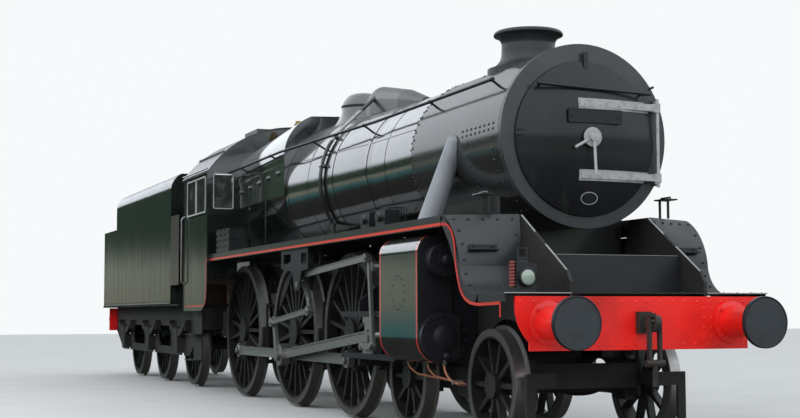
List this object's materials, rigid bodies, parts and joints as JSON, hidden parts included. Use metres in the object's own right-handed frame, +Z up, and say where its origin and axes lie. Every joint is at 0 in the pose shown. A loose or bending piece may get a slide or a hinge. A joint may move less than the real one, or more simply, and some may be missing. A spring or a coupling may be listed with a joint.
{
  "type": "steam locomotive with tender",
  "caption": "Express steam locomotive with bogie, coupled driving wheels, outside cylinders and valve gear, tapered boiler, cab and a tender hinged at its drawbar.",
  "frame": {"origin": "on the floor that the wheel flanges stand on, under the middle of the overall length, on the centreline", "axes": "+X forwards towards the smokebox, +Y to the engine's left, +Z up"},
  "size_m": [19.4, 2.624, 3.9756],
  "materials": {
    "gloss_black": "gloss black lined boiler paint",
    "smokebox_black": "satin heat-resisting black",
    "frame_black": "oily satin black",
    "signal_red": "gloss red",
    "buffer_steel": "worn dark steel",
    "motion_steel": "oiled bright steel",
    "wheel_black": "satin black with bright tyre treads",
    "pale_steel": "pale painted steel",
    "cab_wood": "worn floor planks"
  },
  "bodies": {
    "engine": {"boiler_barrel": "gloss_black", "brake_gear": "frame_black", "buffer_beam": "signal_red", "cab_floor": "cab_wood", "cab_front": "gloss_black", "cab_roof": "smokebox_black", "cab_sides": "gloss_black", "cab_steps": "frame_black", "chimney": "smokebox_black", "connecting_rod_left": "motion_steel", "connecting_rod_right": "motion_steel", "crosshead_left": "motion_steel", "crosshead_right": "motion_steel", "cylinder_cladding": "gloss_black", "cylinders": "frame_black", "dome": "gloss_black", "driver_axleboxes": "frame_black", "drop_sheets": "gloss_black", "firebox": "gloss_black", "frame_stretchers": "frame_black", "front_buffer_heads": "buffer_steel", "front_buffer_stocks": "signal_red", "front_drawgear": "buffer_steel", "front_platform": "gloss_black", "handrails": "frame_black", "link_brackets": "frame_black", "main_frames": "frame_black", "running_plates": "gloss_black", "safety_valves": "frame_black", "slide_bars": "motion_steel", "smokebox": "smokebox_black", "smokebox_front": "smokebox_black", "smokebox_saddle": "smokebox_black", "steam_pipes": "pale_steel", "top_feed": "gloss_black", "valve_gear_left": "motion_steel", "valve_gear_right": "motion_steel"},
    "driver_lead": {"driver_wheels_lead": "wheel_black"},
    "driver_main": {"driver_wheels_main": "wheel_black"},
    "driver_trail": {"driver_wheels_trail": "wheel_black"},
    "coupling_right": {"coupling_rod_right": "motion_steel"},
    "coupling_left": {"coupling_rod_left": "motion_steel"},
    "bogie": {"bogie_frame": "frame_black"},
    "bogie_axle_front": {"bogie_wheels_front": "wheel_black"},
    "bogie_axle_rear": {"bogie_wheels_rear": "wheel_black"},
    "door": {"smokebox_door": "smokebox_black"},
    "tender": {"tender_beam": "signal_red", "tender_buffer_heads": "buffer_steel", "tender_buffer_stocks": "signal_red", "tender_drawgear": "buffer_steel", "tender_filler": "frame_black", "tender_frame": "frame_black", "tender_front": "gloss_black", "tender_springs": "frame_black", "tender_tank": "gloss_black"},
    "tender_axle_front": {"tender_wheels_front": "wheel_black"},
    "tender_axle_middle": {"tender_wheels_middle": "wheel_black"},
    "tender_axle_rear": {"tender_wheels_rear": "wheel_black"},
    "lid": {"filler_lid": "frame_black"}
  },
  "joints": [
    {"name": "driver_main_spin", "type": "hinge", "parent": "engine", "child": "driver_main", "pos_m": [2.178, 0, 0.9431], "axis": [0, 1, 0], "continuous": true},
    {"name": "driver_lead_spin", "type": "hinge", "parent": "engine", "child": "driver_lead", "pos_m": [4.312, 0, 0.9431], "axis": [0, 1, 0], "continuous": true},
    {"name": "driver_trail_spin", "type": "hinge", "parent": "engine", "child": "driver_trail", "pos_m": [-0.26, 0, 0.9431], "axis": [0, 1, 0], "continuous": true},
    {"name": "coupling_rod_right_turn", "type": "hinge", "parent": "driver_main", "child": "coupling_right", "pos_m": [2.39693, 0, 0.66288], "axis": [0, 1, 0], "continuous": true},
    {"name": "coupling_rod_left_turn", "type": "hinge", "parent": "driver_main", "child": "coupling_left", "pos_m": [2.45822, 0, 1.16203], "axis": [0, 1, 0], "continuous": true},
    {"name": "bogie_swivel", "type": "hinge", "parent": "engine", "child": "bogie", "pos_m": [7.0295, 0, 0.6686], "axis": [0, 0, 1], "range_deg": [-3, 3]},
    {"name": "bogie_axle_front_spin", "type": "hinge", "parent": "bogie", "child": "bogie_axle_front", "pos_m": [8.02, 0, 0.5301], "axis": [0, 1, 0], "continuous": true},
    {"name": "bogie_axle_rear_spin", "type": "hinge", "parent": "bogie", "child": "bogie_axle_rear", "pos_m": [6.039, 0, 0.5301], "axis": [0, 1, 0], "continuous": true},
    {"name": "smokebox_door_hinge", "type": "hinge", "parent": "engine", "child": "door", "pos_m": [8.345, 0.722, 2.7186], "axis": [0, 0, 1], "range_deg": [0, 115]},
    {"name": "tender_yaw", "type": "hinge", "parent": "engine", "child": "tender", "pos_m": [-1.93, 0, 1.0286], "axis": [0, 0, 1], "range_deg": [-3.5, 3.5]},
    {"name": "tender_axle_front_spin", "type": "hinge", "parent": "tender", "child": "tender_axle_front", "pos_m": [-3.328, 0, 0.6761], "axis": [0, 1, 0], "continuous": true},
    {"name": "tender_axle_middle_spin", "type": "hinge", "parent": "tender", "child": "tender_axle_middle", "pos_m": [-5.614, 0, 0.6761], "axis": [0, 1, 0], "continuous": true},
    {"name": "tender_axle_rear_spin", "type": "hinge", "parent": "tender", "child": "tender_axle_rear", "pos_m": [-7.9, 0, 0.6761], "axis": [0, 1, 0], "continuous": true},
    {"name": "filler_lid_hinge", "type": "hinge", "parent": "tender", "child": "lid", "pos_m": [-8.825, 0, 2.9236], "axis": [0, -1, 0], "range_deg": [0, 100]}
  ],
  "couplings": [
    {"joint": "driver_lead_spin", "follows": "driver_main_spin", "ratio": 1},
    {"joint": "driver_trail_spin", "follows": "driver_main_spin", "ratio": 1},
    {"joint": "coupling_rod_right_turn", "follows": "driver_main_spin", "ratio": -1},
    {"joint": "coupling_rod_left_turn", "follows": "driver_main_spin", "ratio": -1}
  ]
}
